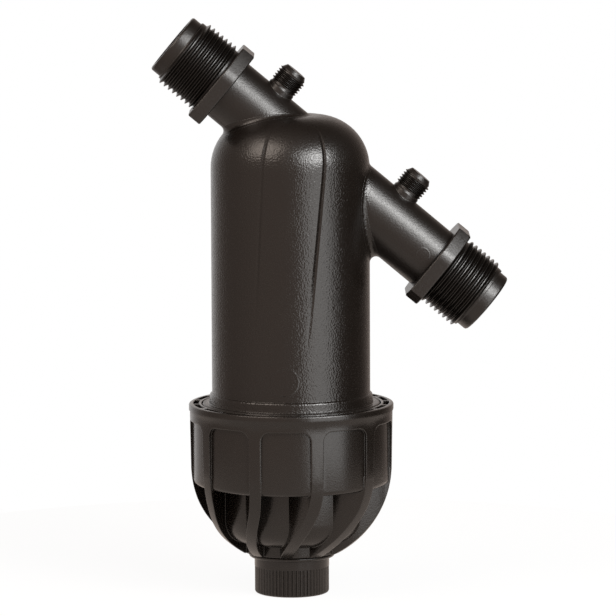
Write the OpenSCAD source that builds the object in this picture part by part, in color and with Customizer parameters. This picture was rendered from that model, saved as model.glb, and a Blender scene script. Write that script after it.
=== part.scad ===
// In-line disc filter for irrigation pipe: a domed chamber with two threaded ports on one slanted axis,
// a screw-on ribbed bowl with a drain cap, and a stack of filter discs clamped on a spine.
// Z is the chamber axis, z = 0 is the underside of the drain cap, +X points towards the inlet port.

/* [Chamber] */
// Outside diameter of the chamber
body_d = 68; // [60:0.5:76]
// Wall of the chamber
body_wall = 3; // [2:0.1:4]
// Height of the chamber above its flange
body_h = 123.7; // [118:0.1:140]
// Rounding of the crown
crown_r = 22.4; // [18:0.1:28]
// Height of the base ring above the flange
base_ring_h = 4.3; // [3:0.1:6]
// Step of the base ring beyond the chamber wall
base_ring_step = 1; // [0.6:0.1:2]
// Thickness of the flange that closes the bowl's mouth
flange_t = 6.4; // [4:0.1:8]
// Step of the skirt's core beyond the chamber wall
skirt_step = 2.6; // [2:0.1:4]
// Height of the bowl thread
skirt_thread_h = 1.4; // [1:0.1:2]
// Lead of the bowl thread
skirt_lead = 6; // [4:0.5:7]
// Turns of the bowl thread
skirt_turns = 3; // [2:1:3]

/* [Pipe ports] */
// Slant of the pipe axis below the horizontal
pipe_angle = 40; // [36:0.5:44]
// Depth of the pipe axis below the crown, on the chamber axis
pipe_drop = 11.1; // [10.8:0.1:14]
// Outside diameter of the port tubes
tube_d = 28; // [26:0.5:29]
// Bore of the ports
port_bore_d = 23; // [20:0.5:24]
// Distance from the chamber axis to the inlet collar, along the pipe
inlet_reach = 79.1; // [74:0.1:90]
// Distance from the chamber axis to the outlet collar, along the pipe
outlet_reach = 34.8; // [32:0.1:40]
// Major diameter of the inlet's pipe thread
inlet_thread_d = 33.25; // [33:0.05:36]
// Major diameter of the outlet's pipe thread, at the small end of its tolerance
outlet_thread_d = 32.9; // [31:0.05:32.9]
// Depth of the pipe threads
pipe_thread_depth = 1.48; // [1:0.01:1.6]
// Pitch of the pipe threads
pipe_pitch = 2.309; // [2:0.001:2.5]
// Crests of each pipe thread
pipe_crests = 8; // [6:1:10]
// Width across the flats of the square wrench collar
collar_w = 36.4; // [36:0.1:42]
// Thickness of the wrench collar
collar_t = 6.2; // [4:0.1:9]
// Cut off each corner of the wrench collar
collar_cut = 3.6; // [2:0.1:5]
// Diameter of the plain lip at the port's end
lip_d = 28.4; // [26:0.1:30]
// Length of the plain lip
lip_l = 5; // [3:0.1:8]

/* [Gauge stubs] */
// Major diameter of the gauge thread
gauge_thread_d = 13.16; // [11:0.01:14]
// Depth of the gauge thread
gauge_thread_depth = 0.86; // [0.6:0.01:1]
// Pitch of the gauge thread
gauge_pitch = 1.337; // [1:0.001:1.5]
// Crests of the gauge thread
gauge_crests = 5; // [4:1:6]
// Distance from the pipe axis to the tip of a gauge stub
gauge_reach = 24.7; // [24:0.1:30]
// Place of the outlet's gauge stub along the pipe
gauge_outlet_s = 17; // [15:0.1:20]
// Place of the inlet's gauge stub along the pipe
gauge_inlet_s = 52.3; // [50:0.1:60]
// Diameter of the blind hole in a gauge stub
gauge_hole_d = 6; // [4:0.1:8]

/* [Bowl] */
// Height from the drain neck to the rim
bowl_h = 64.5; // [60:0.1:75]
// Height of the upright collar, from the rim down
collar_h = 34.7; // [30:0.1:36]
// Wall of the collar
bowl_wall = 5; // [4.5:0.1:7]
// Rounding of the collar's lower edge
collar_edge_r = 2; // [1:0.1:3]
// Wall of the round bottom
dome_wall = 3; // [2:0.1:4]
// Corner radius of the round bottom
dome_corner_r = 11.4; // [9:0.1:13]
// Width of the ledge that carries the seal
ledge_w = 10; // [8:0.1:11]
// Number of ribs
rib_count = 10; // [6:1:14]
// Width of a rib
rib_w = 5.2; // [3:0.1:6]
// Turn of a rib from the collar to its foot, in degrees
rib_swirl = 20; // [0:1:30]
// Azimuth of the first rib from the front
rib_start = 15; // [0:1:35]
// Depth of the panels between the ribs
panel_depth = 1.3; // [0.6:0.1:1.5]
// Height of the plain band above the panels
band_h = 6.9; // [5:0.1:10]
// Corner radius of the panels
panel_r = 4; // [1:0.1:5]
// Pockets cored out of the rim
pocket_count = 20; // [10:1:28]
// Depth of the rim pockets
pocket_depth = 6; // [3:0.1:6.5]
// Web between two rim pockets
pocket_web = 1.4; // [1:0.1:3]
// Diameter of the drain neck
neck_d = 41; // [38:0.5:44]
// Height of the drain neck
neck_h = 4.5; // [3:0.1:6]

/* [Drain] */
// Major diameter of the drain thread
drain_thread_d = 26.44; // [24:0.01:27]
// Depth of the drain thread
drain_thread_depth = 1.16; // [0.8:0.01:1.3]
// Pitch of the drain thread
drain_pitch = 1.814; // [1.5:0.001:2]
// Bore of the drain stub
drain_bore_d = 18; // [14:0.5:20]
// Diameter of the drain cap
cap_d = 32; // [31:0.1:34]
// Height of the drain cap
cap_h = 17.8; // [16:0.1:22]
// Floor of the drain cap
cap_floor = 3.2; // [2:0.1:4]
// Diameter of the cap's flange
cap_flange_d = 37; // [35:0.1:40]
// Thickness of the cap's flange
cap_flange_t = 2; // [1.5:0.1:3]
// Plain band under the cap's flange
cap_band_h = 4; // [2:0.1:6]
// Cut along the cap's lower edge
cap_edge = 1; // [0.6:0.1:1.5]
// Flutes round the cap
flute_count = 60; // [30:2:80]
// Depth of a flute
flute_depth = 0.45; // [0.3:0.05:0.6]

/* [Cartridge] */
// Number of filter discs
disc_count = 46; // [20:1:46]
// Thickness of a disc
disc_t = 2.2; // [1.5:0.1:2.2]
// Outside diameter of a disc
disc_d = 44; // [42:0.5:53]
// Bevel on a disc's edges
disc_bevel = 0.35; // [0.2:0.05:0.5]
// Diameter over the spine's ribs
spine_d = 30; // [26:0.5:32]
// Number of the spine's ribs
spine_ribs = 6; // [4:1:8]
// Thickness of a spine rib
spine_rib_t = 2.4; // [1.5:0.1:3]
// Diameter of the spine's rod
rod_d = 12; // [10:0.5:13]
// Bore of the spine's neck
neck_bore_d = 20; // [18:0.5:21]
// Length of the spine's neck above its plate
neck_l = 12; // [11:0.1:13]
// Thickness of the plate above the discs
top_plate_t = 4; // [3:0.1:5]
// Thickness of the pressure plate
pressure_plate_t = 3; // [2:0.1:4]
// Height of the clamp nut
nut_h = 9; // [7:0.1:10]
// Diameter of the clamp nut's hub
nut_d = 22; // [20:0.5:26]
// Lobes on the clamp nut
nut_lobes = 6; // [3:1:8]

/* [Seals] */
// Thickness of the seal under the skirt
seal_t = 3.5; // [3:0.1:4]
// Width of the seal under the skirt
seal_w = 4; // [3:0.1:4.2]
// Thickness of the drain gasket
gasket_t = 2; // [1.5:0.1:3]
// Section of the neck's ring
neck_ring_d = 2.4; // [2:0.1:2.8]

/* [Fits] */
// Gap between a thread's crest and the wall that it runs in
thread_gap = 0.4; // [0.3:0.05:0.5]
// Gap between pieces that slide in each other
slide_gap = 0.3; // [0.25:0.05:0.4]

/* [Hidden] */
$fn = 96;
black = [0.13, 0.12, 0.115];
rubber = [0.06, 0.06, 0.06];
disc_red = [0.55, 0.12, 0.08];

// Small steps that several pieces share
lap = 1;
draft = 0.2;
rim_gap = 0.2;
bead_step = 0.6;
ledge_t = 3.2;
spine_neck_wall = 3.5;
socket_wall = 3;
socket_gap = 2;
neck_drop = 9.3;
rod_tail = 2;
groove_drop = 6;
groove_slack = 0.2;
flank_angle = 27.5;
bore_run_out = 28;
gauge_tip_t = 4;

// Radii that the pieces share
body_r = body_d / 2;
skirt_core_r = body_r + skirt_step;
skirt_r = skirt_core_r + skirt_thread_h;
bowl_in_r = skirt_r + thread_gap;
flange_r = bowl_in_r - slide_gap;
collar_r = bowl_in_r + bowl_wall;
panel_floor_r = collar_r - panel_depth;
bead_r = collar_r + bead_step;
dome_in_r = bowl_in_r - ledge_w;
dome_r = dome_in_r + dome_wall;
dome_corner_x = dome_r - dome_corner_r;
neck_r = neck_d / 2;
socket_r = neck_bore_d / 2 + spine_neck_wall;
spine_neck_r = socket_r - 2 * slide_gap;
disc_bore_r = spine_d / 2 + slide_gap;

// Heights, from the underside of the drain cap up
stub_end_z = cap_floor + gasket_t;
neck_z = cap_h + slide_gap;
rim_z = neck_z + bowl_h;
collar_z = rim_z - collar_h;
ledge_z = collar_z + ledge_t;
skirt_z = ledge_z + seal_t;
flange_z = rim_z + rim_gap;
shoulder_z = flange_z - flange_t;
crown_z = flange_z + body_h;
pipe_z = crown_z - pipe_drop;
dome_floor_z = neck_z + neck_h;
dome_corner_z = dome_floor_z + dome_corner_r;
neck_top_z = pipe_z - neck_drop;
plate_top_z = neck_top_z - neck_l;
stack_top_z = plate_top_z - top_plate_t;
stack_z = stack_top_z - disc_count * disc_t;
plate_z = stack_z - pressure_plate_t;
nut_z = plate_z - nut_h;
spine_z = nut_z - rod_tail;
socket_z = plate_top_z + socket_gap;
groove_z = neck_top_z - groove_drop;
groove_h = neck_ring_d + 2 * groove_slack;

// Ribs of the bowl: their lower edges lie on a sphere that runs from the collar to the drain neck
rib_sphere_r = collar_r - draft;
rib_foot_r = neck_r + 2.5;
rib_foot_z = neck_z + 1;
rib_sphere_z = rib_foot_z + sqrt(pow(rib_sphere_r, 2) - pow(rib_foot_r, 2));
rib_top_z = max(rib_sphere_z, collar_z + 2 * lap) - lap;
rib_turn_z = collar_z - 1.5;
rib_inner_r = neck_r - 4;
rib_curve = 1.7;
rib_steps = 14;

pipe_thread_l = pipe_crests * pipe_pitch + lap;
port_end_l = collar_t + pipe_thread_l + lip_l;

disc_names = [for (i = [1 : disc_count]) str("disc_", i < 10 ? "0" : "", i)];

// Points of an arc about c, from angle a0 to a1
function arc(c, r, a0, a1, steps = 8) =
    [for (i = [0 : steps]) let (a = a0 + (a1 - a0) * i / steps) [c[0] + r * cos(a), c[1] + r * sin(a)]];

// Outline of a ringed thread from y = 0 up: the axis, then root and crest of each turn
function thread_outline(r, depth, pitch, crests, run_in, length) =
    let (flank = depth * tan(flank_angle), land = pitch / 2 - flank, root = r - depth)
    concat(
        [[0, 0], [root, 0]],
        [for (i = [0 : crests - 1], p = [[root, 0], [r, flank], [r, flank + land], [root, 2 * flank + land]])
            [p[0], run_in + i * pitch + p[1]]],
        [[root, length], [0, length]]
    );

// Round rod with a ringed thread
module threaded_rod(r, depth, pitch, crests, run_in, length) {
    rotate_extrude() polygon(thread_outline(r, depth, pitch, crests, run_in, length));
}

// Puts its children on the pipe axis, with their Z towards the inlet
module along_pipe(s = 0) {
    translate([0, 0, pipe_z]) rotate([0, 90 + pipe_angle, 0]) translate([0, 0, s]) children();
}

// Square wrench collar with cut corners, its underside at z = 0
module wrench_collar() {
    h = collar_w / 2;
    c = h - collar_cut;
    linear_extrude(collar_t)
        polygon([[h, c], [c, h], [-c, h], [-h, c], [-h, -c], [-c, -h], [c, -h], [h, -c]]);
}

// End of a port, from the collar outward: collar, ringed thread, and the plain lip with a rounded edge
module port_end(thread_d) {
    run_in = 0.9;
    lip_round = 1;
    wrench_collar();
    translate([0, 0, collar_t])
        threaded_rod(thread_d / 2, pipe_thread_depth, pipe_pitch, pipe_crests, run_in, pipe_thread_l);
    translate([0, 0, collar_t + pipe_thread_l]) rotate_extrude() polygon(concat(
        [[0, -lap], [lip_d / 2, -lap]],
        arc([lip_d / 2 - lip_round, lip_l - lip_round], lip_round, 0, 90, 5),
        [[0, lip_l]]
    ));
}

// Gauge stub: stands on the tube, with a flared foot, a ringed thread and a tapered nose
module gauge_stub() {
    root_r = gauge_thread_d / 2 - gauge_thread_depth;
    foot_r = root_r + 0.5;
    flare_h = 0.8;
    run_out = 0.3;
    nose_l = 1.9;
    nose_r = root_r + 0.2;
    tip_r = root_r - 1;
    thread_l = gauge_crests * gauge_pitch + run_out;
    nose_z = gauge_reach - nose_l;
    foot_z = nose_z - thread_l;
    cylinder(r = foot_r, h = foot_z - flare_h);
    translate([0, 0, foot_z - flare_h]) cylinder(r1 = foot_r, r2 = root_r, h = flare_h);
    translate([0, 0, foot_z])
        threaded_rod(gauge_thread_d / 2, gauge_thread_depth, gauge_pitch, gauge_crests, 0, thread_l);
    translate([0, 0, nose_z]) cylinder(r1 = nose_r, r2 = tip_r, h = nose_l);
}

// Puts its children on a gauge stub's axis, at s along the pipe
module at_gauge(s) {
    along_pipe(s) rotate([0, -90, 0]) children();
}

// Outline of the chamber from the skirt to the crown, inset from the outside
function chamber_outline(inset) =
    let (r = body_r - inset, top = crown_z - inset, rr = crown_r - inset)
    concat(arc([r - rr, top - rr], rr, 0, 90, 16), [[0, top]]);

module chamber_outside() {
    ring_r = body_r + base_ring_step;
    ring_z = flange_z + base_ring_h;
    ring_round = 1.2;
    cove_h = 1.8;
    cove_w = 0.4;
    edge = 0.4;
    rotate_extrude() polygon(concat(
        [[0, skirt_z], [skirt_core_r, skirt_z], [skirt_core_r, shoulder_z], [flange_r, shoulder_z]],
        [[flange_r, flange_z - edge], [flange_r - edge, flange_z], [ring_r + cove_w, flange_z]],
        [[ring_r, flange_z + cove_h]],
        arc([ring_r - ring_round, ring_z - ring_round], ring_round, 0, 90, 5),
        [[body_r, ring_z]],
        chamber_outline(0)
    ));
    skirt_ridges();
}

// Ridges of the bowl thread round the skirt
module skirt_ridges() {
    foot = 3.2;
    crest = 1.6;
    run_in = 2.2;
    first_z = skirt_z + run_in;
    for (i = [0 : skirt_turns - 1]) translate([0, 0, first_z + i * skirt_lead])
        rotate_extrude() polygon([
            [skirt_core_r - lap, 0], [skirt_core_r, 0],
            [skirt_r, (foot - crest) / 2], [skirt_r, (foot + crest) / 2],
            [skirt_core_r, foot], [skirt_core_r - lap, foot]
        ]);
}

// Space inside the chamber, less the outlet socket and its tube
module chamber_inside() {
    inner_r = body_r - body_wall;
    difference() {
        rotate_extrude() polygon(concat(
            [[0, skirt_z - lap], [inner_r, skirt_z - lap]],
            chamber_outline(body_wall)
        ));
        translate([0, 0, socket_z]) cylinder(r = socket_r + socket_wall, h = crown_z);
        along_pipe(-outlet_reach) cylinder(d = tube_d, h = outlet_reach);
    }
}

module housing() {
    outlet_l = outlet_reach + port_end_l + lap;
    inlet_l = inlet_reach + port_end_l + lap - bore_run_out;
    hole_l = gauge_reach - gauge_tip_t;
    socket_l = neck_top_z + socket_gap - socket_z;
    color(black) difference() {
        union() {
            chamber_outside();
            along_pipe(0) cylinder(d = tube_d, h = inlet_reach);
            along_pipe(-outlet_reach) cylinder(d = tube_d, h = outlet_reach);
            along_pipe(inlet_reach) port_end(inlet_thread_d);
            along_pipe(-outlet_reach) rotate([180, 0, 0]) port_end(outlet_thread_d);
            at_gauge(-gauge_outlet_s) gauge_stub();
            at_gauge(gauge_inlet_s) gauge_stub();
        }
        chamber_inside();
        translate([0, 0, socket_z - lap]) cylinder(r = socket_r, h = socket_l + lap);
        translate([0, 0, socket_z]) cylinder(d = port_bore_d, h = pipe_z + socket_gap - socket_z);
        along_pipe(-outlet_l) cylinder(d = port_bore_d, h = outlet_l);
        along_pipe(bore_run_out) cylinder(d = port_bore_d, h = inlet_l);
        at_gauge(-gauge_outlet_s) cylinder(d = gauge_hole_d, h = hole_l);
        at_gauge(gauge_inlet_s) cylinder(d = gauge_hole_d, h = hole_l);
    }
}

// Turn of a rib at radius r, from none at the collar to the full swirl at its foot
function rib_turn(r) =
    let (z = rib_sphere_z - sqrt(pow(rib_sphere_r, 2) - pow(min(r, rib_sphere_r), 2)))
    -rib_swirl * pow(max(0, rib_turn_z - z) / (rib_turn_z - rib_foot_z), rib_curve);

// Plan of one rib: a curved spoke of even width
module rib_plan() {
    outer_r = collar_r + lap;
    radii = [for (i = [0 : rib_steps]) rib_inner_r + (outer_r - rib_inner_r) * i / rib_steps];
    half = rib_w / 2;
    polygon(concat(
        [for (r = radii) let (a = rib_turn(r) - 90) [r * cos(a) - half * sin(a), r * sin(a) + half * cos(a)]],
        [for (i = [0 : rib_steps]) let (r = radii[rib_steps - i], a = rib_turn(r) - 90)
            [r * cos(a) + half * sin(a), r * sin(a) - half * cos(a)]]
    ));
}

// Ribs under the collar: upright webs cut off by the sphere, up to where the collar's own ribs take over
module lower_ribs() {
    intersection() {
        translate([0, 0, neck_z]) linear_extrude(rib_top_z - neck_z)
            for (i = [0 : rib_count - 1]) rotate(rib_start + i * 360 / rib_count) rib_plan();
        translate([0, 0, rib_sphere_z]) sphere(r = rib_sphere_r);
    }
}

// Cutter of one panel, open downwards and rounded at its upper corners
module panel_cutter() {
    gap = 360 / rib_count;
    half = collar_r * sin(gap / 2) - rib_w / 2;
    top = rim_z - band_h;
    rotate([90, 0, 0]) linear_extrude(bead_r + lap) polygon(concat(
        [[-half, collar_z - lap], [half, collar_z - lap]],
        arc([half - panel_r, top - panel_r], panel_r, 0, 90, 5),
        arc([panel_r - half, top - panel_r], panel_r, 90, 180, 5)
    ));
}

// Raised skin of the collar: the ribs, the band above the panels and the bead at the rim
module collar_skin() {
    bead_h = 3.4;
    slope_h = 0.8;
    edge = 0.6;
    foot_inset = 0.2;
    foot_z = collar_z + collar_edge_r + foot_inset;
    foot_r = sqrt(pow(rib_sphere_r, 2) - pow(rib_sphere_z - foot_z, 2)) - foot_inset;
    join_z = max(rib_sphere_z - 2 * lap, foot_z + lap);
    difference() {
        rotate_extrude() polygon([
            [panel_floor_r - lap, foot_z], [foot_r, foot_z],
            [rib_sphere_r, join_z], [collar_r + draft, rim_z - bead_h],
            [bead_r, rim_z - bead_h + slope_h], [bead_r, rim_z - edge],
            [bead_r - edge / 3, rim_z - edge / 3], [bead_r - edge, rim_z], [panel_floor_r - lap, rim_z]
        ]);
        difference() {
            for (i = [0 : rib_count - 1]) rotate(rib_start + (i + 0.5) * 360 / rib_count) panel_cutter();
            translate([0, 0, collar_z - 2 * lap]) cylinder(r = panel_floor_r, h = collar_h + 4 * lap);
        }
    }
}

// Wall of the bowl: collar with a rounded lower edge, round bottom and drain neck
module bowl_wall_outside() {
    neck_in = -acos(max(0, neck_r - dome_corner_x) / dome_corner_r);
    rotate_extrude() polygon(concat(
        [[0, neck_z], [neck_r, neck_z]],
        neck_r < dome_corner_x ? [[neck_r, dome_floor_z]] : [],
        arc([dome_corner_x, dome_corner_z], dome_corner_r, neck_in, 0, 10),
        [[dome_r, collar_z]],
        arc([panel_floor_r - collar_edge_r, collar_z + collar_edge_r], collar_edge_r, -90, 0, 5),
        [[panel_floor_r, rim_z], [0, rim_z]]
    ));
}

// Space inside the bowl, cored down into the drain neck
module bowl_inside() {
    core_z = neck_z + dome_wall;
    core_r = min(neck_r - dome_wall, dome_corner_x - lap);
    rotate_extrude() polygon(concat(
        [[0, core_z], [core_r, core_z], [core_r, dome_floor_z + dome_wall]],
        arc([dome_corner_x, dome_corner_z], dome_corner_r - dome_wall, -90, 0, 10),
        [[dome_in_r, ledge_z], [bowl_in_r, ledge_z], [bowl_in_r, rim_z - lap]],
        [[bowl_in_r + bead_step, rim_z + lap], [0, rim_z + lap]]
    ));
}

// Pockets cored out of the rim, between thin webs
module rim_pockets() {
    wall = 1.25;
    in_r = bowl_in_r + wall;
    out_r = collar_r - wall;
    translate([0, 0, rim_z - pocket_depth]) difference() {
        cylinder(r = out_r, h = pocket_depth + lap);
        translate([0, 0, -lap]) cylinder(r = in_r, h = pocket_depth + 3 * lap);
        for (i = [0 : pocket_count - 1]) rotate(rib_start + (i + 0.5) * 360 / pocket_count)
            translate([-pocket_web / 2, -out_r - lap, -lap])
                cube([pocket_web, out_r - in_r + 3 * lap, pocket_depth + 3 * lap]);
    }
}

module bowl() {
    run_in = 0.6;
    stub_l = neck_z - stub_end_z;
    drain_crests = floor((stub_l - 2 * lap) / drain_pitch);
    color(black) difference() {
        union() {
            bowl_wall_outside();
            collar_skin();
            lower_ribs();
            translate([0, 0, stub_end_z]) threaded_rod(
                drain_thread_d / 2, drain_thread_depth, drain_pitch, drain_crests, run_in, stub_l + lap
            );
        }
        bowl_inside();
        rim_pockets();
        translate([0, 0, stub_end_z - lap]) cylinder(d = drain_bore_d, h = stub_l + dome_wall + 2 * lap);
    }
}

// Seal between the bowl's ledge and the end of the skirt, with rounded sides
module bowl_o_ring() {
    side_gap = 1.3;
    round_r = 1;
    half = seal_w / 2;
    mid_r = bowl_in_r - side_gap - half;
    color(rubber) rotate_extrude() translate([mid_r, ledge_z]) polygon(concat(
        arc([half - round_r, round_r], round_r, -90, 0, 4),
        arc([half - round_r, seal_t - round_r], round_r, 0, 90, 4),
        arc([round_r - half, seal_t - round_r], round_r, 90, 180, 4),
        arc([round_r - half, round_r], round_r, 180, 270, 4)
    ));
}

// Outline of the cap's grip: flutes round the circle
module flute_plan() {
    r = cap_d / 2;
    step = 360 / flute_count;
    edge = 0.3;
    floor_edge = 0.12;
    flute = [[-edge, 0], [-floor_edge, 1], [floor_edge, 1], [edge, 0]];
    polygon([for (i = [0 : flute_count - 1], p = flute)
        let (a = (i + p[0]) * step, d = r - p[1] * flute_depth) [d * cos(a), d * sin(a)]]);
}

module drain_cap() {
    r = cap_d / 2;
    third = cap_edge / 3;
    band_step = 0.1;
    band_z = cap_h - cap_flange_t - cap_band_h;
    hole_r = drain_thread_d / 2 + slide_gap;
    color(black) difference() {
        union() {
            intersection() {
                linear_extrude(band_z) flute_plan();
                rotate_extrude() polygon([
                    [0, 0], [r - cap_edge, 0], [r - third, third],
                    [r + third, 1.5 * cap_edge], [r + third, cap_h], [0, cap_h]
                ]);
            }
            translate([0, 0, band_z]) cylinder(r = r + band_step, h = cap_h - band_z);
            translate([0, 0, cap_h - cap_flange_t]) rotate_extrude() polygon(concat(
                [[0, 0]],
                arc([cap_flange_d / 2 - cap_flange_t / 2, cap_flange_t / 2], cap_flange_t / 2, -90, 90, 8),
                [[0, cap_flange_t]]
            ));
        }
        translate([0, 0, cap_floor]) cylinder(r = hole_r, h = cap_h);
    }
}

module drain_gasket() {
    out_r = drain_thread_d / 2 - slide_gap;
    in_r = drain_bore_d / 2;
    color(rubber) translate([0, 0, cap_floor]) difference() {
        cylinder(r = out_r, h = gasket_t);
        translate([0, 0, -lap]) cylinder(r = in_r, h = gasket_t + 2 * lap);
    }
}

// Core of the cartridge: ribbed rod, plate above the discs and the neck for the outlet socket
module spine() {
    groove_r = spine_neck_r - neck_ring_d + slide_gap;
    color(black) difference() {
        union() {
            translate([0, 0, stack_top_z]) difference() {
                union() {
                    cylinder(d = disc_d, h = top_plate_t);
                    cylinder(r = spine_neck_r, h = neck_top_z - stack_top_z);
                }
                translate([0, 0, -lap]) cylinder(d = neck_bore_d, h = neck_top_z - stack_top_z + 2 * lap);
            }
            translate([0, 0, spine_z]) cylinder(d = rod_d, h = socket_z - spine_z);
            intersection() {
                translate([0, 0, stack_z]) cylinder(d = spine_d, h = socket_z - stack_z);
                for (i = [0 : spine_ribs - 1]) rotate(i * 360 / spine_ribs)
                    translate([0, -spine_rib_t / 2, stack_z])
                        cube([spine_d, spine_rib_t, socket_z - stack_z]);
            }
        }
        translate([0, 0, groove_z]) difference() {
            cylinder(r = spine_neck_r + lap, h = groove_h);
            translate([0, 0, -lap]) cylinder(r = groove_r, h = groove_h + 2 * lap);
        }
    }
}

// Ring in the groove of the spine's neck
module neck_o_ring() {
    mid_r = socket_r - slide_gap - neck_ring_d / 2;
    color(rubber) translate([0, 0, groove_z + groove_h / 2])
        rotate_extrude() translate([mid_r, 0]) circle(d = neck_ring_d, $fn = 32);
}

// One filter disc, number i from the top, with bevelled edges
module filter_disc(i) {
    in_r = disc_bore_r;
    out_r = disc_d / 2;
    b = disc_bevel;
    color(disc_red) translate([0, 0, stack_top_z - i * disc_t]) rotate_extrude() polygon([
        [in_r, 0], [out_r - b, 0], [out_r, b], [out_r, disc_t - b], [out_r - b, disc_t], [in_r, disc_t]
    ]);
}

// Plate under the discs, which slides on the rod
module pressure_plate() {
    color(black) translate([0, 0, plate_z]) difference() {
        cylinder(d = disc_d, h = pressure_plate_t);
        translate([0, 0, -lap]) cylinder(d = rod_d + 2 * slide_gap, h = pressure_plate_t + 2 * lap);
    }
}

// Hand nut under the pressure plate, with lobes to grip
module clamp_nut() {
    lobe_r = 4;
    lobe_drop = 2;
    color(black) translate([0, 0, nut_z]) difference() {
        union() {
            cylinder(d = nut_d, h = nut_h);
            for (i = [0 : nut_lobes - 1]) rotate(i * 360 / nut_lobes)
                translate([nut_d / 2, 0, 0]) cylinder(r = lobe_r, h = nut_h - lobe_drop, $fn = 48);
        }
        translate([0, 0, -lap]) cylinder(d = rod_d + 2 * slide_gap, h = nut_h + 2 * lap);
    }
}

housing();
bowl();
bowl_o_ring();
drain_cap();
drain_gasket();
spine();
neck_o_ring();
pressure_plate();
clamp_nut();
for (i = [1 : disc_count]) filter_disc(i);
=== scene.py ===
import math

import bmesh
import bpy
import numpy as np
from mathutils import Matrix, Vector


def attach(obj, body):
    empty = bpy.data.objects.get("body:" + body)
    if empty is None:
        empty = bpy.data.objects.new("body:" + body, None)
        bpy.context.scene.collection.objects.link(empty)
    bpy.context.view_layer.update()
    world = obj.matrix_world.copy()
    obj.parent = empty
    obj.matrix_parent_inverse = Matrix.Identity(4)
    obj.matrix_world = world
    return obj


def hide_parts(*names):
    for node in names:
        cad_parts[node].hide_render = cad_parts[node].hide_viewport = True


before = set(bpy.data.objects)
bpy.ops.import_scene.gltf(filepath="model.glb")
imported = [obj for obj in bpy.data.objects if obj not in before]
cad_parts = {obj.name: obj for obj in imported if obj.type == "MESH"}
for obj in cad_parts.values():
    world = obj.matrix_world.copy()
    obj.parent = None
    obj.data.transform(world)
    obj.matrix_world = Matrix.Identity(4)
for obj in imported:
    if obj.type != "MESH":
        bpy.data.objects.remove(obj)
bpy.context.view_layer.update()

# Chamber and ports. The real piece is one black polypropylene moulding: a domed cylinder with a flange at
# its foot, and two tubes on one slanted axis that carry wrench collars, pipe threads and gauge stubs. Its
# face has the fine grain of the mould, plainer on the tubes, with two faint flow lines and gate marks.
MM = 0.001
BODY_R = 34 * MM
CROWN_R = 22.4 * MM
CROWN_Z = 206.5 * MM
PIPE_Z = 195.4 * MM
PIPE_SLANT = math.radians(40)
PIPE_CENTRE = np.array([0, 0, PIPE_Z])
PIPE_AXIS = np.array([math.cos(PIPE_SLANT), 0, -math.sin(PIPE_SLANT)])
PIPE_CREST = {"inlet": 16.625 * MM, "outlet": 16.45 * MM}
PIPE_THREAD = dict(depth=1.48 * MM, pitch=2.309 * MM, turns=8)
PIPE_SPAN = {"inlet": (85.4 * MM, 104.7 * MM), "outlet": (-60.4 * MM, -41.1 * MM)}
COLLAR_SPAN = {"inlet": (79.1 * MM, 85.3 * MM), "outlet": (-41.0 * MM, -34.8 * MM)}
COLLAR_CORE_R = 14.9 * MM
COLLAR_MARGIN = 0.05 * MM
COLLAR_REACH = 1.7
GAUGE_AXIS = np.array([math.sin(PIPE_SLANT), 0, math.cos(PIPE_SLANT)])
GAUGE_PLACES = {"outlet": -17 * MM, "inlet": 52.3 * MM}
GAUGE_THREAD = dict(crest=6.58 * MM, depth=0.86 * MM, pitch=1.337 * MM, turns=5)
GAUGE_ROOT = GAUGE_THREAD["crest"] - GAUGE_THREAD["depth"]
GAUGE_SPAN = (15.75 * MM, 22.75 * MM)
SKIRT_CORE_R = 36.6 * MM
SKIRT_SPAN = (54.7 * MM, 76.3 * MM)
UP = np.array([0.0, 0.0, 1.0])


class Value:
    """A socket that takes part in plain arithmetic: each operation adds a Math node to its tree."""

    def __init__(self, tree, socket=None):
        self.tree = tree
        self.socket = socket

    def node(self, kind, settings=None, inputs=None, out=0):
        """Adds a node: its settings first, then the values or links of its sockets. Gives one output."""
        made = self.tree.nodes.new(kind)
        for key, value in (settings or {}).items():
            setattr(made, key, value)
        for key, value in (inputs or {}).items():
            if isinstance(value, Value):
                self.tree.links.new(value.socket, made.inputs[key])
            else:
                made.inputs[key].default_value = value
        return Value(self.tree, made.outputs[out]) if made.outputs else None

    def math(self, operation, *terms):
        return self.node("ShaderNodeMath", {"operation": operation}, dict(enumerate(terms)))

    def __add__(self, other):
        return self.math("ADD", self, other)

    def __sub__(self, other):
        return self.math("SUBTRACT", self, other)

    def __rsub__(self, other):
        return self.math("SUBTRACT", other, self)

    def __mul__(self, other):
        return self.math("MULTIPLY", self, other)

    def __truediv__(self, other):
        return self.math("DIVIDE", self, other)

    def __pow__(self, other):
        return self.math("POWER", self, other)

    __radd__ = __add__
    __rmul__ = __mul__

    def clamp(self, low=0.0, high=1.0):
        return self.node("ShaderNodeClamp", None, {"Value": self, "Min": low, "Max": high})

    def bell(self, width):
        """One where the value is nought, fading to nought within about twice the width."""
        return self.math("EXPONENT", (self / width) ** 2 * -1)

    def tent(self, width):
        """One where the value is nought, falling straight to nought at the width on either side."""
        return (1 - self.math("ABSOLUTE", self) / width).clamp()

    def axes(self):
        """The x, y and z of a vector, as three values."""
        split = self.node("ShaderNodeSeparateXYZ", None, {"Vector": self}).socket.node
        return [Value(self.tree, socket) for socket in split.outputs]

    def vector(self, operation, other):
        """A number worked out from this vector and another, such as the distance between them."""
        return self.node("ShaderNodeVectorMath", {"operation": operation}, {0: self, 1: other}, "Value")

    def noise(self, scale, detail, distortion=0.0):
        """Smooth noise at this place, with about as many lumps to the metre as the scale says."""
        sockets = {"Vector": self, "Scale": scale, "Detail": detail, "Distortion": distortion}
        return self.node("ShaderNodeTexNoise", None, sockets)

    def mix(self, first, second):
        """A colour between two: the first where this value is nought, the second where it is one."""
        sockets = {"Factor": self, "A": first, "B": second}
        return self.node("ShaderNodeMix", {"data_type": "RGBA"}, sockets, 2)


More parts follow.
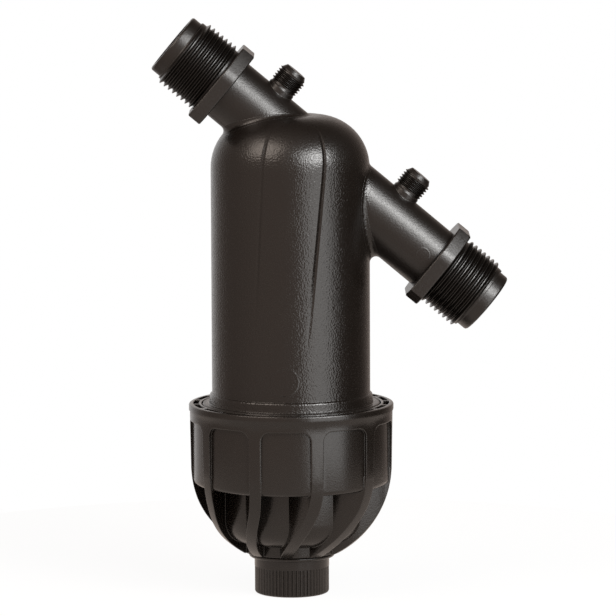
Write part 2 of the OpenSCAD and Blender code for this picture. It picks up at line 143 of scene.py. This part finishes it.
def open_material(name):
    """An empty node material, with a wrapper for its tree."""
    material = bpy.data.materials.new(name)
    material.use_nodes = True
    material.node_tree.nodes.clear()
    return material, Value(material.node_tree)


def black_moulding(name, marks=None, dulled=None, rough=0.24, grain=1.0, edge_mm=0.45,
                   colour=(0.0052, 0.0039, 0.0031), ior=1.49):
    """Black polypropylene from a grained mould: noise of 0.7 mm for the grain, slow noise for the flow of
    the melt, and edges that are a little rounded, paler and smoother where they rub. marks adds its own
    relief, in mm. dulled adds its own roughness, and the grain is evened out in proportion to it."""
    grain_mm = 0.13 * grain
    lump_mm = 0.02 * grain
    evened = 8
    edge_gain = 5
    rub = 0.55
    flow_dulls = 0.08
    grain_dulls = 0.14
    edge_shines = 0.04
    rubbed = (0.05, 0.047, 0.044, 1)
    deep = (*[0.82 * part for part in colour], 1)
    lit = (*[1.2 * part for part in colour], 1)
    material, tree = open_material(name)
    place = tree.node("ShaderNodeTexCoord", out="Object")
    fine = place.noise(scale=1500.0, detail=0.0)
    coarse = place.noise(scale=420.0, detail=2.0)
    flow = place.noise(scale=28.0, detail=3.0, distortion=0.6)
    rounded = tree.node("ShaderNodeBevel", {"samples": 8}, {"Radius": edge_mm * MM})
    true_normal = tree.node("ShaderNodeNewGeometry", out="Normal")
    edge = ((1 - rounded.vector("DOT_PRODUCT", true_normal)) * edge_gain).clamp()
    tint = (edge * fine * rub).mix(flow.mix(deep, lit), rubbed)
    dull = dulled(tree, place) if dulled else 0.0
    uneven = (flow - 0.5) * flow_dulls + (fine - 0.5) * grain_dulls
    roughness = (dull + rough + uneven - edge * edge_shines).clamp(low=0.12, high=0.75)
    relief = fine * grain_mm + coarse * lump_mm
    if dulled:
        relief = relief * (1 - dull * evened)
    if marks:
        relief = relief + marks(tree, place)
    bump = tree.node("ShaderNodeBump", None,
                     {"Height": relief, "Strength": 1.0, "Distance": MM, "Normal": rounded})
    surface = tree.node("ShaderNodeBsdfPrincipled", None,
                        {"Base Color": tint, "Roughness": roughness, "Normal": bump, "IOR": ior})
    tree.node("ShaderNodeOutputMaterial", None, {"Surface": surface})
    return material


def chamber_marks(tree, place):
    """Relief of the chamber in mm: two flow lines that lean down the front, and the rings of two gates."""
    lean_from = 188 * MM
    line_top = 204 * MM
    line_width = 0.030
    foot_fade = 28
    top_fade = 120
    x, y, z = place.axes()
    azimuth = tree.math("ARCTAN2", x, y * -1)
    front = ((y * -1 - 5 * MM) / (2.5 * MM)).clamp()

    def flow_line(azimuth_deg, lean_deg_per_mm, low, depth):
        """A groove along a line of the azimuth that shifts with the height and fades out at both ends."""
        line = math.radians(azimuth_deg) + (z - lean_from) * (math.radians(lean_deg_per_mm) / MM)
        fade = ((z - low) * foot_fade).clamp() * ((line_top - z) * top_fade).clamp() * front
        return (azimuth - line).tent(line_width) * fade * -depth

    def gate_ring(centre, radius, width, height):
        """A ridge on a circle: a bell across the distance from its centre."""
        return (place.vector("DISTANCE", centre) - radius).bell(width) * height

    return (flow_line(azimuth_deg=25.8, lean_deg_per_mm=0.176, low=108 * MM, depth=0.46)
            + flow_line(azimuth_deg=-20.2, lean_deg_per_mm=0.088, low=115 * MM, depth=0.34)
            + gate_ring((-0.0027, -0.0339, 0.096), radius=5.8 * MM, width=0.4 * MM, height=0.085)
            + gate_ring((0.0563, -0.014, 0.1478), radius=2.8 * MM, width=0.3 * MM, height=0.05))


def tube_dullness(tree, place):
    """Roughness that is added on the tubes and collars and, less so, on the crown, where the mould is
    plainer. The chamber is every point within the crown's radius of a smaller upright cylinder, and the
    tubes are what lies away from it."""
    tube_rough = 0.09
    tube_start = 1 * MM
    tube_blend = 2.5 * MM
    crown_rough = 0.065
    crown_fade = 75
    x, y, z = place.axes()
    out = tree.math("MAXIMUM", tree.math("SQRT", x * x + y * y) - (BODY_R - CROWN_R), 0.0)
    above = tree.math("MAXIMUM", z - (CROWN_Z - CROWN_R), 0.0)
    away = tree.math("SQRT", out * out + above * above) - CROWN_R
    tubes = ((away - tube_start) / tube_blend).clamp() * tube_rough
    crown = (above * crown_fade).clamp() * crown_rough
    return tree.math("MAXIMUM", tubes, crown)


def merged_copy(node, name):
    """A copy of a solid's mesh with its corners joined, so that it can be shaded smooth."""
    touching = 0.002 * MM
    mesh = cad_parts[node].data.copy()
    mesh.name = name
    joined = bmesh.new()
    joined.from_mesh(mesh)
    bmesh.ops.remove_doubles(joined, verts=joined.verts, dist=touching)
    joined.to_mesh(mesh)
    joined.free()
    for layer in [a for a in mesh.attributes if a.name == "custom_normal"]:
        mesh.attributes.remove(layer)
    return mesh


def mesh_corners(mesh):
    """The corners of a mesh, each a row of x, y and z."""
    flat = np.empty(len(mesh.vertices) * 3, np.float32)
    mesh.vertices.foreach_get("co", flat)
    return flat.reshape(-1, 3).astype(float)


def draw_in(points, centre, axis, span, root, reach=1.16):
    """Pulls what stands out between two heights on an axis in to the root radius, up to reach times that
    radius, so that a finer surface can stand there."""
    offset = points - centre
    height = offset @ axis
    radial = offset - height[:, None] * axis
    radius = np.linalg.norm(radial, axis=1)
    ridge = (height > span[0]) & (height < span[1]) & (radius > root) & (radius < root * reach)
    scale = np.where(ridge, root / np.maximum(radius, 1e-9), 1.0)
    return centre + height[:, None] * axis + radial * scale[:, None]


def shade(mesh, sharp_deg=28):
    """Smooth shading, broken at edges that turn by more than the given angle."""
    mesh.polygons.foreach_set("use_smooth", np.ones(len(mesh.polygons), bool))
    mesh.set_sharp_from_angle(angle=math.radians(sharp_deg))
    mesh.update()


def place_piece(mesh, material, body, replaced=None):
    """Puts a mesh into the scene as a piece of one material that rides on a body."""
    mesh.materials.clear()
    mesh.materials.append(material)
    piece = bpy.data.objects.new(mesh.name, mesh)
    bpy.context.scene.collection.objects.link(piece)
    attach(piece, body)
    if replaced:
        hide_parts(replaced)


chamber_plastic = black_moulding("grained_black_chamber", chamber_marks, tube_dullness)
chamber_mesh = merged_copy("housing", "chamber_and_ports")
corners = mesh_corners(chamber_mesh)
for side, crest in PIPE_CREST.items():
    corners = draw_in(corners, PIPE_CENTRE, PIPE_AXIS, PIPE_SPAN[side], crest - PIPE_THREAD["depth"])
for low, high in COLLAR_SPAN.values():
    collar_span = (low - COLLAR_MARGIN, high + COLLAR_MARGIN)
    corners = draw_in(corners, PIPE_CENTRE, PIPE_AXIS, collar_span, COLLAR_CORE_R, COLLAR_REACH)
for along_pipe in GAUGE_PLACES.values():
    gauge_foot = PIPE_CENTRE + along_pipe * PIPE_AXIS
    corners = draw_in(corners, gauge_foot, GAUGE_AXIS, GAUGE_SPAN, GAUGE_ROOT)
corners = draw_in(corners, np.zeros(3), UP, SKIRT_SPAN, SKIRT_CORE_R)
chamber_mesh.vertices.foreach_set("co", corners.astype(np.float32).ravel())
shade(chamber_mesh)
place_piece(chamber_mesh, chamber_plastic, "housing", "housing")


# Fillets at the roots of the tubes. They are part of the same moulding: the mould rounds the corner where
# each tube grows out of the chamber, so that the melt flows past and the wall isn't notched there.
TUBE_R = 14 * MM
FILLET_R = 2.6 * MM
FILLET_SUNK = 0.6 * MM
FILLET_STEPS = 144
FILLET_ARC_STEPS = 9
FILLET_SHARP_DEG = 40
FRONT = np.array([0.0, -1.0, 0.0])


def grid_mesh(name, points, capped=False):
    """A closed shell from a grid of points: rows follow each other, each row is a loop, and the last row
    joins the first, or else both end rows are capped. Faces point outwards by the sign of the volume."""
    rows, columns = points.shape[:2]
    index = np.arange(rows * columns).reshape(rows, columns)
    beside = np.roll(index, -1, axis=1)
    low, low_beside = (index[:-1], beside[:-1]) if capped else (index, beside)
    high = np.roll(index, -1, axis=0)[:len(low)]
    high_beside = np.roll(beside, -1, axis=0)[:len(low)]
    quads = np.stack([low, low_beside, high_beside, high], axis=-1).reshape(-1, 4)
    flat = points.reshape(-1, 3)
    a, b, c, d = (flat[quads[:, k]] for k in range(4))
    volume = np.sum(a * np.cross(b, c)) + np.sum(a * np.cross(c, d))
    faces = quads.tolist()
    if capped:
        faces += [index[0][::-1].tolist(), index[-1].tolist()]
    if volume < 0:
        faces = [face[::-1] for face in faces]
    mesh = bpy.data.meshes.new(name)
    mesh.from_pydata(flat.tolist(), [], faces)
    mesh.update()
    return mesh


def unit(vectors):
    """The same directions, each of length one."""
    return vectors / np.linalg.norm(vectors, axis=-1, keepdims=True)


def chamber_distance(points):
    """Distance from the domed chamber and the direction away from it: the chamber is every point within the
    crown's radius of a smaller upright cylinder, so the nearest point of that cylinder gives both."""
    across = np.hypot(points[:, 0], points[:, 1])
    out = np.maximum(across - (BODY_R - CROWN_R), 0)
    above = np.maximum(points[:, 2] - (CROWN_Z - CROWN_R), 0)
    reach = np.hypot(out, above)
    flat = points[:, :2] / across[:, None] * (out / reach)[:, None]
    return reach - CROWN_R, np.column_stack([flat, above / reach])


def tube_fillet(name, direction):
    """Surface left by a ball that rolls in the corner: its centre keeps the ball's radius from the tube and
    from the chamber, found by halving the way along the tube. Each section is the arc between the two
    contacts, closed by three points that are sunk in the wall."""
    farthest = 80 * MM
    halvings = 40
    turn = np.linspace(0, 2 * np.pi, FILLET_STEPS, endpoint=False)
    radial = np.cos(turn)[:, None] * GAUGE_AXIS + np.sin(turn)[:, None] * FRONT
    ring = PIPE_CENTRE + (TUBE_R + FILLET_R) * radial
    near = np.zeros(FILLET_STEPS)
    far = np.full(FILLET_STEPS, farthest)
    for _ in range(halvings):
        middle = (near + far) / 2
        gap = chamber_distance(ring + (direction * middle)[:, None] * PIPE_AXIS)[0]
        near = np.where(gap < FILLET_R, middle, near)
        far = np.where(gap < FILLET_R, far, middle)
    centre = ring + (direction * near)[:, None] * PIPE_AXIS
    to_tube = -radial
    to_chamber = -chamber_distance(centre)[1]
    span = np.arccos(np.clip(np.sum(to_tube * to_chamber, axis=1), -1, 1))
    t = np.linspace(0, 1, FILLET_ARC_STEPS)
    first = np.sin((1 - t)[None] * span[:, None]) / np.sin(span)[:, None]
    last = np.sin(t[None] * span[:, None]) / np.sin(span)[:, None]
    arc = first[..., None] * to_tube[:, None] + last[..., None] * to_chamber[:, None]
    arc_points = centre[:, None] + FILLET_R * arc
    foot = centre + (FILLET_R + FILLET_SUNK) * to_chamber
    heel = centre + (FILLET_R + FILLET_SUNK) * to_tube
    corner = centre + (FILLET_R / np.cos(span / 2) + FILLET_SUNK)[:, None] * unit(to_tube + to_chamber)
    section = np.concatenate([arc_points, foot[:, None], corner[:, None], heel[:, None]], axis=1)
    return grid_mesh(name, section)


for side, direction in (("inlet", 1), ("outlet", -1)):
    fillet = tube_fillet(side + "_tube_fillet", direction)
    shade(fillet, FILLET_SHARP_DEG)
    place_piece(fillet, chamber_plastic, "housing")


# Wrench collars, part of the same moulding: one behind each pipe thread, where a spanner holds the port.
# Their corners are cut, and the flats are crowned, so that the upper part of the front leans back.
COLLAR_HALF_W = 18.2 * MM
COLLAR_CUT = 3.6 * MM
COLLAR_LEAN = math.radians(37)
COLLAR_BEND_R = 10 * MM
COLLAR_BEND_START = 2.5 * MM
COLLAR_BEND_STEPS = 9
COLLAR_LEAN_END = 11.6 * MM
COLLAR_RIM = 0.4 * MM
COLLAR_BORE_R = 13 * MM
COLLAR_OVERLAP = 0.06 * MM


def wrench_collar(name, low, high):
    """A ring carried along the pipe between two heights. Half of its outline is a cut corner, a flat, an
    arc, the leaning flat and another cut corner; the other half is the same, turned by half a turn."""
    lean = np.linspace(0, COLLAR_LEAN, COLLAR_BEND_STEPS)
    bend_x = COLLAR_HALF_W - COLLAR_BEND_R + COLLAR_BEND_R * np.cos(lean)
    bend_y = COLLAR_BEND_START + COLLAR_BEND_R * np.sin(lean)
    flat_end = COLLAR_HALF_W - COLLAR_CUT
    foot = [[flat_end, -COLLAR_HALF_W], [COLLAR_HALF_W, -flat_end]]
    head = [[COLLAR_LEAN_END, flat_end], [COLLAR_LEAN_END - COLLAR_CUT, COLLAR_HALF_W]]
    half = np.concatenate([foot, np.column_stack([bend_x, bend_y]), head])
    outline = np.concatenate([half, -half])
    rim = outline * (1 - COLLAR_RIM / COLLAR_HALF_W)
    bore = unit(outline) * COLLAR_BORE_R
    loops = ((rim, low), (outline, low + COLLAR_RIM), (outline, high - COLLAR_RIM),
             (rim, high), (bore, high), (bore, low))
    rings = [PIPE_CENTRE + height * PIPE_AXIS + loop[:, :1] * FRONT + loop[:, 1:] * GAUGE_AXIS
             for loop, height in loops]
    return grid_mesh(name, np.stack(rings))


for side, (low, high) in COLLAR_SPAN.items():
    collar = wrench_collar(side + "_wrench_collar", low - COLLAR_OVERLAP, high + COLLAR_OVERLAP)
    shade(collar)
    place_piece(collar, chamber_plastic, "housing")


# Pipe and gauge threads. They are moulded in one with the ports, in a split mould: G1 on the two ports and
# G1/4 on the gauge stubs, right-handed, with rounded crests. They fade in behind the lip and out at the
# collar.
PIPE_RUN_IN = 0.6 * MM
GAUGE_START = 16.0 * MM
THREAD_SHARP_DEG = 60
THREAD_AXIAL = np.array([-0.5, -0.417, -0.30, -0.17, -0.09, -0.035, 0.035,
                         0.09, 0.17, 0.30, 0.417, 0.5, 0.5, -0.5])
THREAD_RADIAL = np.array([-0.06, 0.02, 0.33, 0.70, 0.94, 1.0, 1.0,
                          0.94, 0.70, 0.33, 0.02, -0.06, -0.5, -0.5])
thread_plastic = black_moulding("smooth_black_thread", rough=0.24, grain=0.15, edge_mm=0.12,
                                colour=(0.0030, 0.0024, 0.0020), ior=1.33)


def thread_ridge(name, centre, axis, across, start, crest, depth, pitch, turns,
                 steps=80, flank=THREAD_RADIAL, width=None):
    """A thread profile carried along a right-handed helix: one turn climbs one pitch, and the profile is as
    wide as the pitch unless a width is given. Over the first and last third of a turn the ridge grows out
    of the root and sinks back into it."""
    fade_turns = 0.35
    sink = 0.12
    side = np.cross(axis, across)
    turn = np.linspace(0, turns, int(turns * steps) + 1)
    rise = np.clip(np.minimum(turn, turns - turn) / fade_turns, 0, 1)
    grown = rise * rise * (3 - 2 * rise)
    height = start + pitch * turn[:, None] + (width or pitch) * THREAD_AXIAL[None]
    ridge = np.where(flank > 0, flank, 0)[None] * grown[:, None] + np.minimum(flank, 0)[None]
    radius = crest - depth + depth * (ridge - sink * (1 - grown)[:, None])
    angle = 2 * np.pi * turn[:, None]
    spoke = np.cos(angle)[..., None] * across + np.sin(angle)[..., None] * side
    return grid_mesh(name, centre + height[..., None] * axis + radius[..., None] * spoke, capped=True)


for side, crest in PIPE_CREST.items():
    ridge = thread_ridge(side + "_pipe_thread", PIPE_CENTRE, PIPE_AXIS, GAUGE_AXIS,
                         PIPE_SPAN[side][0] + PIPE_RUN_IN, crest, **PIPE_THREAD)
    shade(ridge, THREAD_SHARP_DEG)
    place_piece(ridge, thread_plastic, "housing")
for side, along_pipe in GAUGE_PLACES.items():
    ridge = thread_ridge(side + "_gauge_thread", PIPE_CENTRE + along_pipe * PIPE_AXIS, GAUGE_AXIS, FRONT,
                         GAUGE_START, steps=56, **GAUGE_THREAD)
    shade(ridge, THREAD_SHARP_DEG)
    place_piece(ridge, thread_plastic, "housing")


# Bowl thread on the skirt of the chamber: three turns of a coarse ridge that the bowl is screwed onto,
# moulded with the chamber and out of sight while the bowl is on.
SKIRT_R = 38 * MM
SKIRT_START = 55.6 * MM
SKIRT_THREAD = dict(crest=SKIRT_R, depth=SKIRT_R - SKIRT_CORE_R, pitch=6.0 * MM, turns=3, width=3.2 * MM)
SKIRT_FLANK = np.array([-0.06, 0.02, 0.5, 0.96, 1.0, 1.0, 1.0,
                        1.0, 0.96, 0.5, 0.02, -0.06, -0.5, -0.5])
skirt_ridge = thread_ridge("bowl_thread_on_skirt", np.zeros(3), UP, FRONT, SKIRT_START,
                           steps=110, flank=SKIRT_FLANK, **SKIRT_THREAD)
shade(skirt_ridge, THREAD_SHARP_DEG)
place_piece(skirt_ridge, thread_plastic, "housing")


# Cartridge: a ribbed spine of black plastic, and a stack of grooved discs on it. The discs are red-brown
# polypropylene, pressed with fine slanting grooves that the water is filtered through.
DISC_T = 2.2 * MM
STACK_Z = 68.9 * MM
GROOVES = 260
GROOVE_LEAN = 5200
GROOVE_MM = 0.06
STAIN_MM = 0.02
DISC_DARK = (0.30, 0.045, 0.028, 1)
DISC_LIGHT = (0.47, 0.085, 0.05, 1)
spine_plastic = black_moulding("plain_black_spine", rough=0.44, grain=0.5)
spine_mesh = merged_copy("spine", "cartridge_spine")
shade(spine_mesh)
place_piece(spine_mesh, spine_plastic, "cartridge", "spine")


def disc_plastic():
    """Red-brown disc: grooves that run slantwise out from the bore, as waves of the azimuth that lean with
    the radius, over a slow stain that the water leaves and a shade that repeats with each disc."""
    material, tree = open_material("grooved_red_disc")
    place = tree.node("ShaderNodeTexCoord", out="Object")
    x, y, z = place.axes()
    across = tree.math("SQRT", x * x + y * y)
    groove = tree.math("SINE", tree.math("ARCTAN2", x, y) * GROOVES + across * GROOVE_LEAN)
    stain = place.noise(scale=90.0, detail=4.0)
    seam = tree.math("SINE", (z - STACK_Z) * (2 * math.pi / DISC_T))
    tint = (stain * 0.8 + seam * 0.12).clamp().mix(DISC_DARK, DISC_LIGHT)
    bump = tree.node("ShaderNodeBump", None,
                     {"Height": groove * GROOVE_MM + stain * STAIN_MM, "Strength": 1.0, "Distance": MM})
    surface = tree.node("ShaderNodeBsdfPrincipled", None,
                        {"Base Color": tint, "Roughness": stain * 0.2 + 0.38, "Normal": bump})
    tree.node("ShaderNodeOutputMaterial", None, {"Surface": surface})
    return material


red_disc = disc_plastic()
for node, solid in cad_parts.items():
    if node.startswith("disc_"):
        solid.data.materials.clear()
        solid.data.materials.append(red_disc)


# Seals: a moulded rubber ring on the bowl's ledge, a small ring in the groove of the spine's neck and a
# flat gasket in the drain cap. They are matt black rubber, a little greyed, and are only laid in.
SEAL_BODIES = {"bowl_o_ring": "bowl_seal", "neck_o_ring": "cartridge", "drain_gasket": "drain_seal"}
SEAL_SHARP_DEG = 50
PEEL_MM = 0.04
RUBBER_BLACK = (0.010, 0.010, 0.010, 1)
RUBBER_GREY = (0.032, 0.031, 0.03, 1)


def rubber():
    """Matt rubber: fine mottling in the colour and a soft orange-peel relief."""
    material, tree = open_material("matt_seal_rubber")
    place = tree.node("ShaderNodeTexCoord", out="Object")
    mottle = place.noise(scale=700.0, detail=3.0)
    bloom = place.noise(scale=60.0, detail=2.0)
    tint = (bloom * mottle * 1.6).mix(RUBBER_BLACK, RUBBER_GREY)
    bump = tree.node("ShaderNodeBump", None, {"Height": mottle * PEEL_MM, "Strength": 1.0, "Distance": MM})
    surface = tree.node("ShaderNodeBsdfPrincipled", None,
                        {"Base Color": tint, "Roughness": mottle * 0.2 + 0.6, "Normal": bump})
    tree.node("ShaderNodeOutputMaterial", None, {"Surface": surface})
    return material


seal_rubber = rubber()
for node, body in SEAL_BODIES.items():
    seal_mesh = merged_copy(node, node + "_rubber")
    shade(seal_mesh, SEAL_SHARP_DEG)
    place_piece(seal_mesh, seal_rubber, body, node)


# Clamp: a pressure plate under the discs, and a lobed hand nut that is screwed up the spine's rod to press
# them together. Both are plain black mouldings.
for node, body in (("pressure_plate", "clamp_plate"), ("clamp_nut", "clamp_nut")):
    clamp_mesh = merged_copy(node, node + "_moulding")
    shade(clamp_mesh)
    place_piece(clamp_mesh, spine_plastic, body, node)


# Bowl: one black moulding that screws onto the skirt. Ten ribs run down its collar and swirl in under its
# round bottom to the drain neck, where the drain stub hangs with its own pipe thread.
DRAIN_THREAD = dict(crest=13.22 * MM, depth=1.16 * MM, pitch=1.814 * MM, turns=5.6)
DRAIN_ROOT = DRAIN_THREAD["crest"] - DRAIN_THREAD["depth"]
DRAIN_SPAN = (5.3 * MM, 17.9 * MM)
DRAIN_START = 6.6 * MM
bowl_plastic = black_moulding("grained_black_bowl", rough=0.25, grain=0.2, edge_mm=0.6)
bowl_mesh = merged_copy("bowl", "ribbed_bowl")
bowl_corners = draw_in(mesh_corners(bowl_mesh), np.zeros(3), UP, DRAIN_SPAN, DRAIN_ROOT)
bowl_mesh.vertices.foreach_set("co", bowl_corners.astype(np.float32).ravel())
shade(bowl_mesh)
place_piece(bowl_mesh, bowl_plastic, "bowl", "bowl")
drain_ridge = thread_ridge("drain_stub_thread", np.zeros(3), UP, FRONT, DRAIN_START, **DRAIN_THREAD)
shade(drain_ridge, THREAD_SHARP_DEG)
place_piece(drain_ridge, thread_plastic, "bowl")


# Drain cap: a black screw cap with a fluted grip and a flange, moulded in one. It is screwed onto the drain
# stub over its gasket, and the filter stands on it.
cap_plastic = black_moulding("grained_black_cap", rough=0.22, grain=0.1, edge_mm=0.16)
cap_mesh = merged_copy("drain_cap", "fluted_drain_cap")
shade(cap_mesh)
place_piece(cap_mesh, cap_plastic, "drain_cap", "drain_cap")


# Studio: a pale table in a white room that is warm on the camera's side. A soft box with a bright core
# stands on the right with a dimmer one below it, and a warm one hangs high on the left. The camera looks
# down by seven degrees through a long lens.
WHITE = (1, 1, 1, 1)
TABLE_R = 0.25
TABLE_Z = -0.05 * MM
TABLE_SIDES = 96
TABLE_WHITE = (0.88, 0.88, 0.88, 1)
TABLE_WARM = (0.80, 0.68, 0.60, 1)
TABLE_GLOW = 0.93
ROOM_WARM = (1.0, 0.805, 0.70, 1)
ROOM_LEVEL = 0.03
WARM_LEVEL = 0.68
WARM_SPREAD = 0.75
WARM_LEAST = 0.30
WHITE_LEVEL = 0.95
DIM_LEVEL = 0.30
WALL_FALLOFF = 6
NEUTRAL_LAMP = (1.0, 1.0, 0.99)
WARM_LAMP = (1.0, 0.87, 0.77)
TARGET = Vector((7.4, 0, 123.4)) * MM
DISTANCE = 2.1
ELEVATION = math.radians(7.15)
ROLL = math.radians(-0.24)
FOCAL_PX = 4895
FRAME_PX = 616
SENSOR_MM = 36


def seen_ray(tree):
    """One for rays that show a surface: from the camera, or by way of a gloss or a clear piece."""
    rays = tree.node("ShaderNodeLightPath").socket.node.outputs
    kinds = ("Is Camera Ray", "Is Glossy Ray", "Is Transmission Ray")
    return sum(Value(tree.tree, rays[kind]) for kind in kinds).clamp()


def pale_table():
    """Table that looks white to the camera, warm and dimmer in the gloss, and still takes a shadow."""
    material, tree = open_material("pale_table")
    matt = tree.node("ShaderNodeBsdfDiffuse", None, {"Color": TABLE_WHITE})
    tint = tree.node("ShaderNodeLightPath", out="Is Camera Ray").mix(TABLE_WARM, WHITE)
    glow = tree.node("ShaderNodeEmission", None, {"Color": tint, "Strength": 1.0})
    surface = tree.node("ShaderNodeMixShader", None, {0: seen_ray(tree) * TABLE_GLOW, 1: matt, 2: glow})
    tree.node("ShaderNodeOutputMaterial", None, {"Surface": surface})
    return material


table_turn = np.linspace(0, 2 * np.pi, TABLE_SIDES, endpoint=False)
table_rim = np.column_stack([TABLE_R * np.cos(table_turn), TABLE_R * np.sin(table_turn),
                             np.full(TABLE_SIDES, TABLE_Z)])
table_mesh = bpy.data.meshes.new("table")
table_mesh.from_pydata(table_rim.tolist(), [], [list(range(TABLE_SIDES))])
table_mesh.materials.append(pale_table())
table = bpy.data.objects.new("table", table_mesh)
bpy.context.scene.collection.objects.link(table)

room = bpy.data.worlds.new("white_room")
room.use_nodes = True
room.node_tree.nodes.clear()
sky = Value(room.node_tree)
camera_ray = sky.node("ShaderNodeLightPath", out="Is Camera Ray")
looking = sky.node("ShaderNodeTexCoord", out="Generated")


def facing(*way):
    """How far a ray looks in a given direction of the room: one straight at it, nought across it."""
    return looking.vector("DOT_PRODUCT", way)


warm_wall = (facing(-0.50, -0.86, 0.0) * WARM_SPREAD + WARM_LEAST).clamp() * WARM_LEVEL
white_wall = facing(-0.36, 0.93, 0.05).clamp() ** WALL_FALLOFF * WHITE_LEVEL
dim_wall = facing(0.30, 0.95, 0.05).clamp() ** WALL_FALLOFF * DIM_LEVEL
level = camera_ray + (1 - camera_ray) * (warm_wall + white_wall + dim_wall + ROOM_LEVEL)
wall_tint = (camera_ray + white_wall).clamp().mix(ROOM_WARM, WHITE)
backdrop = sky.node("ShaderNodeBackground", None, {"Color": wall_tint, "Strength": level})
sky.node("ShaderNodeOutputWorld", None, {"Surface": backdrop})
bpy.context.scene.world = room


def soft_box(name, azimuth, elevation, distance, width, height, radiance, colour, aim=(0, 0, 0.12)):
    """A rectangular lamp at an azimuth from the front towards the right, turned to its aim. Its power is
    its radiance times pi and its area."""
    a = math.radians(azimuth)
    e = math.radians(elevation)
    lamp = bpy.data.lights.new(name, "AREA")
    lamp.shape = "RECTANGLE"
    lamp.size = width
    lamp.size_y = height
    lamp.energy = radiance * math.pi * width * height
    lamp.color = colour
    stand = bpy.data.objects.new(name, lamp)
    away = Vector((math.sin(a) * math.cos(e), -math.cos(a) * math.cos(e), math.sin(e)))
    stand.location = Vector(aim) + away * distance
    stand.rotation_mode = "QUATERNION"
    stand.rotation_quaternion = away.to_track_quat("Z", "Y")
    bpy.context.scene.collection.objects.link(stand)


soft_box("key_box", azimuth=42, elevation=31, distance=1.6, width=1.25, height=0.80,
         radiance=8.8, colour=NEUTRAL_LAMP)
soft_box("key_core", azimuth=43, elevation=30, distance=1.5, width=0.36, height=0.34,
         radiance=17.0, colour=NEUTRAL_LAMP)
soft_box("key_foot", azimuth=42, elevation=-6, distance=1.6, width=1.30, height=1.05,
         radiance=2.6, colour=NEUTRAL_LAMP)
soft_box("top_box", azimuth=-48, elevation=47, distance=1.5, width=1.0, height=0.85,
         radiance=4.7, colour=WARM_LAMP)

lens = bpy.data.cameras.new("camera")
lens.sensor_width = SENSOR_MM
lens.lens = FOCAL_PX / FRAME_PX * SENSOR_MM
lens.clip_end = 50
camera = bpy.data.objects.new("camera", lens)
back = Vector((0, -math.cos(ELEVATION), math.sin(ELEVATION)))
level_right = Vector((1, 0, 0))
level_up = Vector((0, math.sin(ELEVATION), math.cos(ELEVATION)))
right = level_right * math.cos(ROLL) + level_up * math.sin(ROLL)
upward = level_up * math.cos(ROLL) - level_right * math.sin(ROLL)
turned = Matrix((right, upward, back)).transposed().to_4x4()
camera.matrix_world = Matrix.Translation(TARGET + back * DISTANCE) @ turned
bpy.context.scene.collection.objects.link(camera)
bpy.context.scene.camera = camera
bpy.context.scene.view_settings.view_transform = "Standard"
